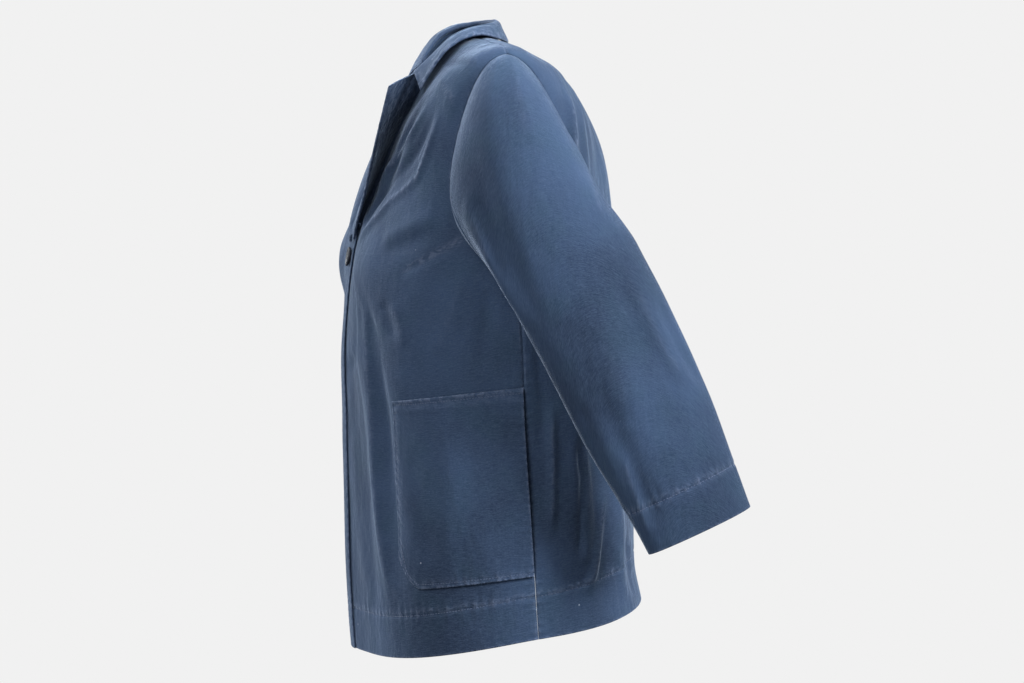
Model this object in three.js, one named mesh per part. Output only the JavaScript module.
// A short velvet jacket with notched lapels and wide bracelet-length sleeves, hollow as when it is worn.
// Millimetres. +X is the wearer's left, +Y the back, +Z up. The origin lies between the shoulders, at the neck.
import * as THREE from "three";

// Driving dimensions
const CLOTH = 1.8;
const DOUBLED_CLOTH = 2.6;
const SEAM_GAP = 0.3;
const STITCH_GROOVE = 0.7;
const OVERLAP_LIFT = 2.4;
const BUTTON_RADIUS = 10;
const BUTTON_THICKNESS = 3.4;

// Rings round the body, from the hem up to the neck seam. "at" is the place of a ring on the cloth's way up.
// half: half the width. front, side, back: how far back each quarter of the ring lies, and zFront, zSide, zBack its height.
// A dip (in front) or dipBack of 1 lets the height change evenly from the side to the middle, and one of 2 keeps it level
// at the side.
const BODY_RINGS = [
  { at: 0.0, half: 207, front: -133, side: 28, back: 155, zFront: -630, zSide: -592, zBack: -575, dip: 1.05, dipBack: 1.05 },
  { at: 0.062, half: 205, front: -136, side: 26, back: 148, zFront: -592, zSide: -558, zBack: -541, dip: 1.1, dipBack: 1.1 },
  { at: 0.16, half: 204, front: -139, side: 23, back: 145, zFront: -530, zSide: -505, zBack: -490, dip: 1.15, dipBack: 1.15 },
  { at: 0.35, half: 202, front: -142, side: 15, back: 137, zFront: -395, zSide: -378, zBack: -366, dip: 1.3, dipBack: 1.3 },
  { at: 0.5, half: 203, front: -149, side: 12, back: 131, zFront: -305, zSide: -292, zBack: -282, dip: 1.6, dipBack: 1.6 },
  { at: 0.64, half: 206, front: -141, side: 4, back: 126, zFront: -222, zSide: -210, zBack: -203, dip: 2, dipBack: 1.9 },
  { at: 0.76, half: 202, front: -121, side: 0, back: 116, zFront: -155, zSide: -120, zBack: -135, dip: 2, dipBack: 1.7 },
  { at: 0.87, half: 193, front: -101, side: -2, back: 92, zFront: -98, zSide: -10, zBack: -70, dip: 2, dipBack: 1.5 },
  { at: 0.94, half: 132, front: -89, side: -9, back: 54, zFront: -74, zSide: 0, zBack: -25, dip: 2, dipBack: 1.7 },
  { at: 1.0, half: 72, front: -78, side: -20, back: 8, zFront: -50, zSide: 5, zBack: -2, dip: 2, dipBack: 2 },
];
const CORNER_FULLNESS = 0.07;
const PROW = { out: 10, halfWidth: 38, fullBelow: -420, goneAbove: -250 };

// Round swellings of the body cloth: x and z of the middle, how far out they stand, and their spread.
const SWELLINGS = [
  { name: "left bust", x: 84, z: -222, out: 10, spread: 46, faces: "front" },
  { name: "right bust", x: -84, z: -222, out: 18, spread: 46, faces: "front" },
  { name: "left shoulder blade", x: 88, z: -118, out: 4, spread: 40, faces: "back" },
  { name: "right shoulder blade", x: -88, z: -118, out: 4, spread: 40, faces: "back" },
];

// Large drape folds. Each is a soft ridge (out above 0) or trough between two places on the cloth, given
// as an angle and an "at". The folds of one side are made again, mirrored, on the other.
const BODY_FOLDS = [
  { name: "shoulder to button, inner", from: [30, 0.88], to: [6, 0.655], width: 12, out: 3.4 },
  { name: "shoulder to button, hollow", from: [36, 0.875], to: [9, 0.66], width: 11, out: -2.6 },
  { name: "shoulder to button, outer", from: [43, 0.865], to: [12, 0.665], width: 12, out: 3.2 },
  { name: "button to hem, long", from: [18, 0.6], to: [32, 0.1], width: 13, out: 4.2 },
  { name: "beside the long fold", from: [27, 0.56], to: [40, 0.12], width: 13, out: -3.0 },
  { name: "back, beside the side seam", from: [112, 0.44], to: [114, 0.12], width: 15, out: 4.0 },
  { name: "back, hollow", from: [124, 0.5], to: [126, 0.06], width: 17, out: -4.5 },
  { name: "back, second ridge", from: [138, 0.46], to: [140, 0.03], width: 15, out: 4.0 },
  { name: "back of the armhole", from: [142, 0.87], to: [130, 0.71], width: 14, out: 5.0 },
];
const BODY_SCALE = { angle: 3.2, at: 600 };

// The roll line, or the front edge below it, as an angle from the middle of the front.
const FRONT_EDGE = [
  { at: 0.0, angle: -4.4 },
  { at: 0.6, angle: -4.4 },
  { at: 0.66, angle: -3.2 },
  { at: 0.7, angle: 1.6 },
  { at: 0.76, angle: 6.4 },
  { at: 0.82, angle: 9.6 },
  { at: 0.87, angle: 12.6 },
  { at: 0.94, angle: 21 },
  { at: 1.0, angle: 42 },
];
const ARMHOLE = { low: 0.652, high: 0.872, frontSweep: 26.5, backSweep: 28 };
const SIDE_ANGLE = 90;
const BACK_ANGLE = 180;

// A sleeve's middle line with half its width and thickness, from the cap's end down to the cuff.
const SLEEVE_RINGS = [
  { at: 0.0, x: 246, y: 60, z: -226, wide: 69, thick: 35 },
  { at: 0.29, x: 251, y: 97, z: -298, wide: 68.5, thick: 32 },
  { at: 0.56, x: 256, y: 130, z: -366, wide: 66.5, thick: 29 },
  { at: 0.85, x: 261, y: 165, z: -440, wide: 59, thick: 24 },
  { at: 1.0, x: 263, y: 182, z: -477, wide: 56, thick: 21 },
];
const CAP_SHARE = 0.4;
// How the sleeve's cloth leaves the armhole. A turn is 0 at the shoulder, 90 in front, 180 under the arm and 270 behind.
const CAP_PULLS = [
  { turn: 0, x: 1.0, y: 0.05, z: -0.1 },
  { turn: 45, x: 0.95, y: -0.16, z: -0.35 },
  { turn: 90, x: 0.75, y: -0.22, z: -0.62 },
  { turn: 135, x: 0.6, y: -0.1, z: -0.75 },
  { turn: 180, x: 0.55, y: 0.1, z: -0.75 },
  { turn: 225, x: 0.75, y: 0.3, z: -0.6 },
  { turn: 270, x: 0.9, y: 0.3, z: -0.3 },
  { turn: 315, x: 1.0, y: 0.12, z: -0.15 },
  { turn: 360, x: 1.0, y: 0.05, z: -0.1 },
];
const CAP_START = 0.9;
const CAP_END = 0.75;
const FRONT_SLEEVE_SEAM = 105;
const BACK_SLEEVE_SEAM = 240;
const SLEEVE_FOLDS = [
  { name: "front edge, from the armhole", from: [84, 0.08], to: [74, 0.46], width: 10, out: 3.6 },
  { name: "behind the front edge", from: [56, 0.1], to: [48, 0.46], width: 12, out: -3.2 },
  { name: "elbow, long hollow", from: [330, 0.4], to: [330, 0.72], width: 16, out: -3.0 },
  { name: "beside the lower front", from: [28, 0.66], to: [40, 0.95], width: 12, out: -3.0 },
  { name: "behind the shoulder", from: [300, 0.1], to: [318, 0.4], width: 13, out: -3.2 },
];
const SLEEVE_SCALE = { angle: 1, at: 470 };

// Lapel free edges, from the break up to the point. The left one stands off the chest, the right one lies on it.
const LAPEL_BREAK = 0.668;
const LAPEL_STARTS = { left: 0.7, right: 0.68 };
const LEFT_LAPEL_EDGE = [
  { at: 0.0, x: 5, y: -142, z: -212 },
  { at: 0.25, x: 33, y: -141, z: -190 },
  { at: 0.5, x: 62, y: -135, z: -156 },
  { at: 0.75, x: 87, y: -126, z: -106 },
  { at: 1.0, x: 101, y: -112, z: -42 },
];
const RIGHT_LAPEL_EDGE = [
  { at: 0.0, x: 5, y: -145, z: -211 },
  { at: 0.25, x: -30, y: -141, z: -191 },
  { at: 0.5, x: -62, y: -130, z: -158 },
  { at: 0.75, x: -90, y: -110, z: -115 },
  { at: 1.0, x: -104, y: -89, z: -60 },
];

// The collar, by angle round the neck: where its fold lies from the neck seam, and where its free edge is.
const COLLAR = [
  { angle: 42, foldOut: 4, foldBack: -3, foldUp: 12, edgeX: 98, edgeY: -80, edgeZ: -47 },
  { angle: 58, foldOut: -2, foldBack: 1, foldUp: 11, edgeX: 105, edgeY: -63, edgeZ: -16 },
  { angle: 76, foldOut: -7, foldBack: 1, foldUp: 9, edgeX: 104, edgeY: -43, edgeZ: 1 },
  { angle: 96, foldOut: -11, foldBack: 0, foldUp: 10.5, edgeX: 95, edgeY: -21, edgeZ: 7.5 },
  { angle: 120, foldOut: -9, foldBack: -1, foldUp: 14, edgeX: 76, edgeY: -2, edgeZ: 4 },
  { angle: 150, foldOut: -4, foldBack: -3, foldUp: 19, edgeX: 42, edgeY: 13.5, edgeZ: -0.5 },
  { angle: 180, foldOut: 0, foldBack: -4, foldUp: 22, edgeX: 0, edgeY: 18, edgeZ: -4 },
];
const COLLAR_CORNER = { left: [98, -80, -48], right: [-98, -82, -56] };
const NOTCH_SHARE = 0.6;
const GORGE_BLEND = 20;
const FOLD_RADIUS = 2.6;

// A patch pocket, sewn on three sides. Its fourth side, at the side seam, is the mouth.
const POCKET = { inner: 39.5, low: 0.117, high: 0.4, slant: 0.016, cornerRise: 0.05, cornerShare: 0.2, lift: 0.6, mouthLift: 2.2 };

const radians = THREE.MathUtils.degToRad;
const point = (x, y, z) => new THREE.Vector3(x, y, z);
const toPoint = ([x, y, z]) => point(x, y, z);

// A smooth curve through one column of a table, read at any place.
function smoothColumn(table, column, place = "at") {
  const xs = table.map((row) => row[place]);
  const ys = table.map((row) => row[column]);
  const last = xs.length - 1;
  const slopes = xs.map((_, i) => {
    const low = Math.max(i - 1, 0);
    const high = Math.min(i + 1, last);
    return (ys[high] - ys[low]) / (xs[high] - xs[low]);
  });
  return (x) => {
    const at = Math.min(Math.max(x, xs[0]), xs[last]);
    let i = 0;
    while (i < last - 1 && at > xs[i + 1]) i += 1;
    const span = xs[i + 1] - xs[i];
    const t = (at - xs[i]) / span;
    const rise = ys[i + 1] - ys[i];
    const bend = slopes[i] * span - rise;
    const unbend = -slopes[i + 1] * span + rise;
    return ys[i] + t * rise + t * (1 - t) * (bend * (1 - t) + unbend * t);
  };
}

function smoothTable(table, place = "at") {
  const columns = Object.keys(table[0]).filter((name) => name !== place && name !== "name");
  const curves = Object.fromEntries(columns.map((name) => [name, smoothColumn(table, name, place)]));
  return (x) => Object.fromEntries(columns.map((name) => [name, curves[name](x)]));
}

const bodyRing = smoothTable(BODY_RINGS);
const frontEdgeAngle = smoothColumn(FRONT_EDGE, "angle");
const sleeveRing = smoothTable(SLEEVE_RINGS);
const collarRow = smoothTable(COLLAR, "angle");

const smoothStep = (low, high, x) => THREE.MathUtils.smoothstep(x, low, high);

// How far a list of folds moves the cloth at a place. A fold fades out at both its ends.
function foldsAt(folds, scale, angle, at) {
  let out = 0;
  const u = angle * scale.angle;
  const v = at * scale.at;
  for (const fold of folds) {
    const share = THREE.MathUtils.clamp(((u - fold.u) * fold.du + (v - fold.v) * fold.dv) / fold.lengthSquared, 0, 1);
    const away = Math.hypot(u - fold.u - fold.du * share, v - fold.v - fold.dv * share) / fold.width;
    const fade = Math.min(1, 4 * share * (1 - share) + 0.15);
    out += fold.out * fade * Math.exp(-away * away);
  }
  return out;
}

function scaledFolds(folds, scale) {
  return folds.map((fold) => {
    const [u, v] = [fold.from[0] * scale.angle, fold.from[1] * scale.at];
    const [du, dv] = [fold.to[0] * scale.angle - u, fold.to[1] * scale.at - v];
    return { u, v, du, dv, lengthSquared: du * du + dv * dv, width: fold.width, out: fold.out };
  });
}
const bodyFolds = scaledFolds(BODY_FOLDS, BODY_SCALE);
const sleeveFolds = scaledFolds(SLEEVE_FOLDS, SLEEVE_SCALE);

// The plain body surface: angle 0 is the middle of the front, 90 the wearer's left side and 180 the back.
function plainBody(angle, at) {
  const ring = bodyRing(at);
  const sin = Math.sin(radians(angle));
  const cos = Math.cos(radians(angle));
  const x = ring.half * sin * (1 + CORNER_FULLNESS * cos * cos);
  const reach = Math.abs(cos) * (1 + CORNER_FULLNESS * sin * sin);
  const towards = cos > 0 ? ring.front : ring.back;
  const towardsZ = cos > 0 ? ring.zFront : ring.zBack;
  const p = point(x, ring.side + (towards - ring.side) * reach, ring.zSide + (towardsZ - ring.zSide) * Math.abs(cos) ** (cos > 0 ? ring.dip : ring.dipBack));
  const facing = smoothStep(0, 0.6, Math.abs(cos));
  for (const swelling of SWELLINGS) {
    if ((swelling.faces === "front") !== (cos > 0)) continue;
    const away = Math.hypot(p.x - swelling.x, p.z - swelling.z) / swelling.spread;
    p.y += Math.sign(-cos) * swelling.out * facing * Math.exp(-away * away);
  }
  if (cos > 0) {
    const low = 1 - smoothStep(PROW.fullBelow, PROW.goneAbove, p.z);
    p.y -= PROW.out * low * Math.exp(-((p.x / PROW.halfWidth) ** 2));
  }
  return p;
}

// The outward normal of a surface given as a function of two numbers.
function normalOf(surface, u, v, du, dv) {
  const alongU = surface(u + du, v).sub(surface(u - du, v));
  const alongV = surface(u, v + dv).sub(surface(u, v - dv));
  return alongU.cross(alongV).normalize();
}

const plainBodyNormal = (angle, at) => normalOf(plainBody, angle, Math.min(at, 0.998), 0.4, 0.002);

function body(angle, at) {
  const p = plainBody(angle, at);
  return p.addScaledVector(plainBodyNormal(angle, at), foldsAt(bodyFolds, BODY_SCALE, Math.abs(angle), at));
}

const bodyNormal = (angle, at) => normalOf(body, angle, Math.min(at, 0.998), 0.4, 0.002);

// The angle that one millimetre spans on the body at a place.
const anglePerMillimetre = (angle, at) => 0.5 / plainBody(angle + 0.25, at).distanceTo(plainBody(angle - 0.25, at));

// A closed wall from a grid of outer points and one of inner points. A ring wall joins its last column to its first.
function wallGeometry(rows, isRing = false) {
  const columns = rows[0].length;
  const positions = [];
  const indices = [];
  const layerSize = rows.length * columns;
  for (const side of ["outer", "inner"]) {
    for (const row of rows) {
      for (const spot of row) positions.push(...spot[side].toArray());
    }
  }
  const outer = (r, c) => r * columns + (c % columns);
  const inner = (r, c) => layerSize + outer(r, c);
  const quad = (a, b, c, d) => indices.push(a, b, c, a, c, d);
  const lastColumn = isRing ? columns : columns - 1;
  const lastRow = rows.length - 1;
  for (let r = 0; r < lastRow; r += 1) {
    for (let c = 0; c < lastColumn; c += 1) {
      quad(outer(r, c), outer(r, c + 1), outer(r + 1, c + 1), outer(r + 1, c));
      quad(inner(r, c), inner(r + 1, c), inner(r + 1, c + 1), inner(r, c + 1));
    }
    if (!isRing) {
      quad(outer(r, 0), outer(r + 1, 0), inner(r + 1, 0), inner(r, 0));
      quad(outer(r + 1, lastColumn), outer(r, lastColumn), inner(r, lastColumn), inner(r + 1, lastColumn));
    }
  }
  for (let c = 0; c < lastColumn; c += 1) {
    quad(outer(0, c + 1), outer(0, c), inner(0, c), inner(0, c + 1));
    quad(outer(lastRow, c), outer(lastRow, c + 1), inner(lastRow, c + 1), inner(lastRow, c));
  }
  const geometry = new THREE.BufferGeometry();
  geometry.setAttribute("position", new THREE.Float32BufferAttribute(positions, 3));
  geometry.setIndex(indices);
  return geometry;
}

// Turns a wall round so that its faces point out, whichever way its grid ran.
function facingOut(geometry) {
  const position = geometry.getAttribute("position");
  const index = geometry.getIndex();
  const [a, b, c] = [0, 1, 2].map(() => point(0, 0, 0));
  let volume = 0;
  for (let i = 0; i < index.count; i += 3) {
    a.fromBufferAttribute(position, index.getX(i));
    b.fromBufferAttribute(position, index.getX(i + 1));
    c.fromBufferAttribute(position, index.getX(i + 2));
    volume += a.dot(b.cross(c));
  }
  if (volume < 0) {
    for (let i = 0; i < index.count; i += 3) {
      const first = index.getX(i);
      index.setX(i, index.getX(i + 1));
      index.setX(i + 1, first);
    }
  }
  return geometry;
}

const evenly = (count, from, to) => Array.from({ length: count + 1 }, (_, i) => from + ((to - from) * i) / count);
// Places that crowd towards both ends, as an armhole's curve needs.
const crowded = (count, from, to) => evenly(count, 0, Math.PI).map((t) => from + ((to - from) * (1 - Math.cos(t))) / 2);

// The rows of the body panels: close together at the hem's stitching, and round the armhole.
const HEM_AT = 0.072;
const GROOVE_STEP = 0.006;
const ARMHOLE_STEPS = 12;
const POCKET_ROWS = evenly(6, POCKET.low, POCKET.high);
const BODY_ROWS = [
  0,
  HEM_AT - GROOVE_STEP,
  HEM_AT,
  HEM_AT + GROOVE_STEP,
  ...POCKET_ROWS,
  ...evenly(4, POCKET.high + 0.055, ARMHOLE.low - 0.028),
  ...crowded(ARMHOLE_STEPS, ARMHOLE.low, ARMHOLE.high),
  ...evenly(3, ARMHOLE.high, 1).slice(1),
];

function armholeSweep(at) {
  const share = (at - ARMHOLE.low) / (ARMHOLE.high - ARMHOLE.low);
  return share > 0 && share < 1 ? Math.sqrt(4 * share * (1 - share)) : 0;
}

// The stitched hem line is a shallow groove in the outer points.
const hemGroove = (at) => (Math.abs(at - HEM_AT) < 0.001 ? -STITCH_GROOVE : 0);

function bodySpot(angle, at, lift = 0) {
  const p = body(angle, at);
  const normal = bodyNormal(angle, at);
  return {
    outer: p.clone().addScaledVector(normal, lift + hemGroove(at)),
    inner: p.clone().addScaledVector(normal, lift - CLOTH),
    normal,
  };
}

// The columns of a front, as shares of its way from the front edge to the side seam. Two of them bound the pocket.
const LOW_EDGE = FRONT_EDGE[0].angle;
const pocketInnerShare = (POCKET.inner - LOW_EDGE) / (SIDE_ANGLE - LOW_EDGE);
const POCKET_COLUMNS = evenly(7, pocketInnerShare, 1);
const OVERLAP_SHARE = -LOW_EDGE / (SIDE_ANGLE - LOW_EDGE);
const FRONT_COLUMNS = [0, OVERLAP_SHARE, ...evenly(5, 2 * OVERLAP_SHARE, pocketInnerShare), ...POCKET_COLUMNS.slice(1)];

// One front's grid. The right front lies on the left one where they overlap.
function frontRows(side) {
  return BODY_ROWS.map((at) => {
    const seam = (SEAM_GAP / 2) * anglePerMillimetre(side * SIDE_ANGLE, at);
    const from = frontEdgeAngle(at);
    const to = SIDE_ANGLE - seam - ARMHOLE.frontSweep * armholeSweep(at);
    return FRONT_COLUMNS.map((share) => {
      const angle = from + (to - from) * share;
      const lift = side < 0 ? OVERLAP_LIFT * (1 - smoothStep(5, 13, angle)) : 0;
      return bodySpot(side * angle, at, lift);
    });
  });
}

function back() {
  const columns = evenly(24, -1, 1);
  return wallGeometry(BODY_ROWS.map((at) => {
    const seam = (SEAM_GAP / 2) * anglePerMillimetre(SIDE_ANGLE, at);
    const half = BACK_ANGLE - SIDE_ANGLE - seam - ARMHOLE.backSweep * armholeSweep(at);
    return columns.map((share) => bodySpot(BACK_ANGLE + half * share, at));
  }));
}

// The armhole's edge, by turn: 0 at the shoulder, 90 at the front, 180 at the underarm and 270 at the back.
function armholeEdge(side, turn) {
  const sin = Math.sin(radians(turn));
  const at = ARMHOLE.low + ((ARMHOLE.high - ARMHOLE.low) * (1 + Math.cos(radians(turn)))) / 2;
  const sweep = sin > 0 ? ARMHOLE.frontSweep : ARMHOLE.backSweep;
  return body(side * (SIDE_ANGLE - sweep * sin), at);
}

// A sleeve's ring below the cap, in the left sleeve's place.
function armRing(turn, at) {
  const ring = sleeveRing(at);
  const ahead = sleeveRing(Math.min(at + 0.02, 1));
  const behind = sleeveRing(Math.max(at - 0.02, 0));
  const down = point(ahead.x - behind.x, ahead.y - behind.y, ahead.z - behind.z).normalize();
  const across = point(1, 0, 0).cross(down).normalize().negate();
  const outward = down.clone().cross(across).normalize();
  if (outward.x < 0) outward.negate();
  if (across.y < 0) across.negate();
  const sin = Math.sin(radians(turn));
  const cos = Math.cos(radians(turn));
  return point(ring.x, ring.y, ring.z)
    .addScaledVector(across, -ring.wide * sin)
    .addScaledVector(outward, ring.thick * cos);
}

const capPull = smoothTable(CAP_PULLS, "turn");

// The whole left sleeve: 0 to CAP_SHARE is the cap, and the rest the arm down to the cuff.
function plainSleeve(turn, at) {
  if (at >= CAP_SHARE) return armRing(turn, (at - CAP_SHARE) / (1 - CAP_SHARE));
  const t = at / CAP_SHARE;
  const start = armholeEdge(1, turn);
  start.x += SEAM_GAP;
  const pull = capPull(((turn % 360) + 360) % 360);
  const end = armRing(turn, 0);
  const chord = start.distanceTo(end);
  const leave = armRing(turn, 0.03).sub(end).normalize();
  return start.multiplyScalar(2 * t ** 3 - 3 * t * t + 1)
    .addScaledVector(point(pull.x, pull.y, pull.z), (t ** 3 - 2 * t * t + t) * chord * CAP_START)
    .addScaledVector(end, 3 * t * t - 2 * t ** 3)
    .addScaledVector(leave, (t ** 3 - t * t) * chord * CAP_END);
}

const plainSleeveNormal = (turn, at) => normalOf(plainSleeve, turn, THREE.MathUtils.clamp(at, 0.004, 0.996), 1, 0.004);

function sleeve(turn, at) {
  const p = plainSleeve(turn, at);
  const settled = smoothStep(0.0, 0.12, at);
  const round = ((turn % 360) + 360) % 360;
  return p.addScaledVector(plainSleeveNormal(turn, at), foldsAt(sleeveFolds, SLEEVE_SCALE, round, at) * settled);
}

const sleeveNormal = (turn, at) => normalOf(sleeve, turn, THREE.MathUtils.clamp(at, 0.004, 0.996), 1, 0.004);

const CUFF_AT = 0.9;
const SLEEVE_ROWS = [...evenly(8, 0, CAP_SHARE), ...evenly(6, CAP_SHARE + 0.07, CUFF_AT - 0.008), CUFF_AT, CUFF_AT + 0.008, 1];

// One of a sleeve's two pieces, between two turns.
function sleevePiece(side, fromTurn, toTurn, steps) {
  return wallGeometry(SLEEVE_ROWS.map((at) => evenly(steps, 0, 1).map((share) => {
    const turn = fromTurn + (toTurn - fromTurn) * share;
    const p = sleeve(turn, at);
    const normal = sleeveNormal(turn, at);
    const groove = Math.abs(at - CUFF_AT) < 0.001 ? -STITCH_GROOVE : 0;
    const mirror = point(side, 1, 1);
    return {
      outer: p.clone().addScaledVector(normal, groove).multiply(mirror),
      inner: p.clone().addScaledVector(normal, -CLOTH).multiply(mirror),
    };
  })));
}
const SLEEVE_SEAM_TURN = 0.2;

// A lapel's middle surface: it leaves the front's edge, rolls over and runs out to its free edge.
function lapelMiddle(side, share, across) {
  const edge = (side > 0 ? leftLapelEdge : rightLapelEdge)(share);
  const at = LAPEL_BREAK + (1 - LAPEL_BREAK) * share;
  const angle = frontEdgeAngle(at);
  const lift = side < 0 ? OVERLAP_LIFT * (1 - smoothStep(5, 13, angle)) : 0;
  const normal = bodyNormal(side * angle, at);
  const onBody = body(side * angle, at);
  const inwards = onBody.clone().sub(body(side * (angle + 0.6), at)).normalize();
  const clear = SEAM_GAP + 0.6 + (DOUBLED_CLOTH / 2) * (0.6 + 0.5 * share * share);
  const root = onBody.addScaledVector(normal, lift - CLOTH / 2).addScaledVector(inwards, clear);
  const free = point(edge.x, edge.y, edge.z);
  const width = root.distanceTo(free);
  const roll = Math.min(9, width * 0.4) * (1 - 0.5 * share);
  const first = root.clone().addScaledVector(inwards, roll).addScaledVector(normal, roll * 0.5);
  const second = root.clone().lerp(free, 0.3).addScaledVector(normal, roll * 1.5);
  return new THREE.CubicBezierCurve3(root, first, second, free).getPoint(across);
}
const leftLapelEdge = smoothTable(LEFT_LAPEL_EDGE);
const rightLapelEdge = smoothTable(RIGHT_LAPEL_EDGE);

// A wall of even thickness about a middle surface.
function wallAbout(surface, us, vs, thickness, du, dv) {
  return wallGeometry(us.map((u) => vs.map((v) => {
    const p = surface(u, v);
    const uLow = Math.max(u - du, us[0]);
    const uHigh = Math.min(u + du, us[us.length - 1]);
    const vLow = Math.max(v - dv, vs[0]);
    const vHigh = Math.min(v + dv, vs[vs.length - 1]);
    const normal = surface(uHigh, v).sub(surface(uLow, v)).cross(surface(u, vHigh).sub(surface(u, vLow))).normalize();
    return {
      outer: p.clone().addScaledVector(normal, thickness / 2),
      inner: p.clone().addScaledVector(normal, -thickness / 2),
    };
  })));
}

function lapel(side) {
  const rows = BODY_ROWS.filter((at) => at > LAPEL_STARTS[side > 0 ? "left" : "right"]).map((at) => (at - LAPEL_BREAK) / (1 - LAPEL_BREAK));
  return wallAbout((share, across) => lapelMiddle(side, share, across), rows, evenly(7, 0, 1), DOUBLED_CLOTH, 0.01, 0.02);
}

// The collar's cross-section by its table: up from the neck seam, over the fold and out to the free edge.
function collarSection(side, angle, across) {
  const row = collarRow(angle);
  const seam = plainBody(side * angle, 1);
  const outwards = point(seam.x, 0, 0).normalize();
  const rise = seam.clone().sub(plainBody(side * angle, 0.985)).normalize();
  const fold = seam.clone().add(point(0, row.foldBack, row.foldUp)).addScaledVector(outwards, row.foldOut);
  const normal = plainBodyNormal(side * angle, 0.998);
  const lean = Math.abs(fold.clone().sub(seam).normalize().dot(normal));
  const start = seam.clone().addScaledVector(rise, SEAM_GAP + 0.1 + (DOUBLED_CLOTH / 2) * lean).addScaledVector(normal, (-CLOTH / 2) * (1 - lean));
  const free = point(side * row.edgeX, row.edgeY, row.edgeZ);
  const over = free.clone().sub(fold).setZ(0).normalize();
  const places = [
    start,
    start.clone().lerp(fold, 0.55),
    fold.clone().addScaledVector(over, -FOLD_RADIUS * 0.6).add(point(0, 0, -FOLD_RADIUS * 0.7)),
    fold,
    fold.clone().addScaledVector(over, FOLD_RADIUS * 1.4).add(point(0, 0, -FOLD_RADIUS * 0.5)),
    fold.clone().lerp(free, 0.5).add(point(0, 0, 3)),
    free,
  ];
  return new THREE.CatmullRomCurve3(places, false, "centripetal").getPoint(across);
}

// The collar's front end follows the lapel's top edge as far as the notch, and then turns to its own corner.
function collarEnd(side, across) {
  const shared = Math.min(across / 0.8, 1);
  const along = lapelMiddle(side, 1, shared * NOTCH_SHARE);
  const away = along.clone().sub(lapelMiddle(side, 0.97, shared * NOTCH_SHARE)).normalize();
  const edge = along.addScaledVector(away, SEAM_GAP + 0.7);
  const corner = toPoint(side > 0 ? COLLAR_CORNER.left : COLLAR_CORNER.right);
  return edge.lerp(corner, Math.max(0, (across - 0.8) / 0.2));
}

function collarMiddle(turn, across) {
  const side = turn < 0 ? 1 : -1;
  const beyond = COLLAR_END - Math.abs(turn);
  const section = collarSection(side, BACK_ANGLE - Math.abs(turn), across);
  const blend = (1 - smoothStep(0, GORGE_BLEND, beyond)) * smoothStep(0, 0.3, across);
  return blend > 0 ? section.lerp(collarEnd(side, across), blend) : section;
}

const COLLAR_END = BACK_ANGLE - 44;
function collar() {
  const turns = [...evenly(7, -COLLAR_END, -SIDE_ANGLE), ...evenly(24, -SIDE_ANGLE, SIDE_ANGLE).slice(1), ...evenly(7, SIDE_ANGLE, COLLAR_END).slice(1)];
  return wallAbout(collarMiddle, turns, evenly(12, 0, 1), DOUBLED_CLOTH, 0.5, 0.02);
}

// A place on a front between its grid's points, found straight from the four round it.
function betweenSpots(rows, row, column) {
  const r = Math.min(Math.floor(row), rows.length - 2);
  const c = Math.min(Math.floor(column), rows[0].length - 2);
  const blend = (key) => rows[r][c][key].clone().lerp(rows[r][c + 1][key], column - c)
    .lerp(rows[r + 1][c][key].clone().lerp(rows[r + 1][c + 1][key], column - c), row - r);
  return { at: blend("outer"), normal: blend("normal").normalize() };
}

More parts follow.
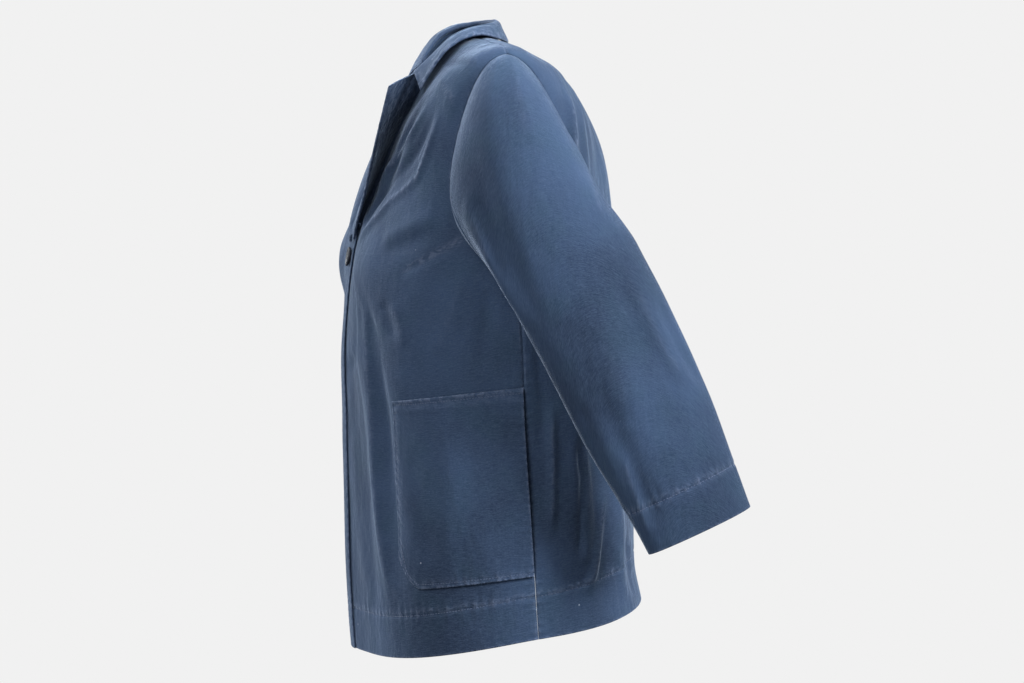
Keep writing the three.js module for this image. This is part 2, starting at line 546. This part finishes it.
// A pocket on one front, made from the front's own places, moved out.
function pocket(grid) {
  const firstRow = BODY_ROWS.indexOf(POCKET_ROWS[0]);
  const firstColumn = FRONT_COLUMNS.length - POCKET_COLUMNS.length;
  const rowHeight = POCKET_ROWS[1] - POCKET_ROWS[0];
  const [lastRow, lastColumn] = [POCKET_ROWS.length - 1, POCKET_COLUMNS.length - 1];
  const rows = evenly(lastRow, 0, 1).map((up) => evenly(lastColumn, 0, 1).map((share) => {
    const corner = (POCKET.cornerRise * Math.max(0, 1 - share / POCKET.cornerShare) ** 1.5 * (1 - up)) / rowHeight;
    const top = (POCKET.slant / 0.055) * share * Math.max(0, up * lastRow - lastRow + 1);
    const spot = betweenSpots(grid, firstRow + up * lastRow + corner + top, firstColumn + share * (lastColumn - 0.02));
    const lift = POCKET.lift + POCKET.mouthLift * smoothStep(0.72, 1, share) * Math.sin(Math.PI * up) ** 0.7;
    return {
      outer: spot.at.clone().addScaledVector(spot.normal, lift + CLOTH),
      inner: spot.at.clone().addScaledVector(spot.normal, lift),
    };
  }));
  return wallGeometry(rows);
}

// The one button, on the right front at the break of the lapels.
function button() {
  const profile = [[0, 0], [BUTTON_RADIUS * 0.86, 0], [BUTTON_RADIUS, 1], [BUTTON_RADIUS, BUTTON_THICKNESS - 1],
    [BUTTON_RADIUS * 0.86, BUTTON_THICKNESS], [BUTTON_RADIUS * 0.62, BUTTON_THICKNESS - 0.6], [0, BUTTON_THICKNESS - 0.8]];
  return new THREE.LatheGeometry(profile.map(([r, h]) => new THREE.Vector2(r, h)), 20);
}

const velvet = (name, colour) => new THREE.MeshStandardMaterial({ name, color: colour, roughness: 0.85, metalness: 0 });
const shell = velvet("velvet", 0x3a4a68);
const horn = new THREE.MeshStandardMaterial({ name: "button", color: 0x1c2230, roughness: 0.4, metalness: 0 });

const jacket = new THREE.Group();
function addPiece(name, geometry, material = shell) {
  const mesh = new THREE.Mesh(facingOut(geometry), material);
  mesh.name = name;
  jacket.add(mesh);
  return mesh;
}

addPiece("back", back());
addPiece("collar", collar());
for (const [word, side] of [["left", 1], ["right", -1]]) {
  const grid = frontRows(side);
  addPiece(`front_${word}`, wallGeometry(grid));
  addPiece(`lapel_${word}`, lapel(side));
  addPiece(`pocket_${word}`, pocket(grid));
  addPiece(`sleeve_${word}_top`, sleevePiece(side, BACK_SLEEVE_SEAM - 360 + SLEEVE_SEAM_TURN, FRONT_SLEEVE_SEAM - SLEEVE_SEAM_TURN, 15));
  addPiece(`sleeve_${word}_under`, sleevePiece(side, FRONT_SLEEVE_SEAM + SLEEVE_SEAM_TURN, BACK_SLEEVE_SEAM - SLEEVE_SEAM_TURN, 9));
}

const BUTTON_AT = 0.634;
const buttonMesh = addPiece("button", button(), horn);
const buttonPlace = body(0, BUTTON_AT).addScaledVector(bodyNormal(0, BUTTON_AT), OVERLAP_LIFT + SEAM_GAP + 0.3);
buttonMesh.position.copy(buttonPlace);
buttonMesh.quaternion.setFromUnitVectors(point(0, 1, 0), bodyNormal(0, BUTTON_AT));

export default jacket;
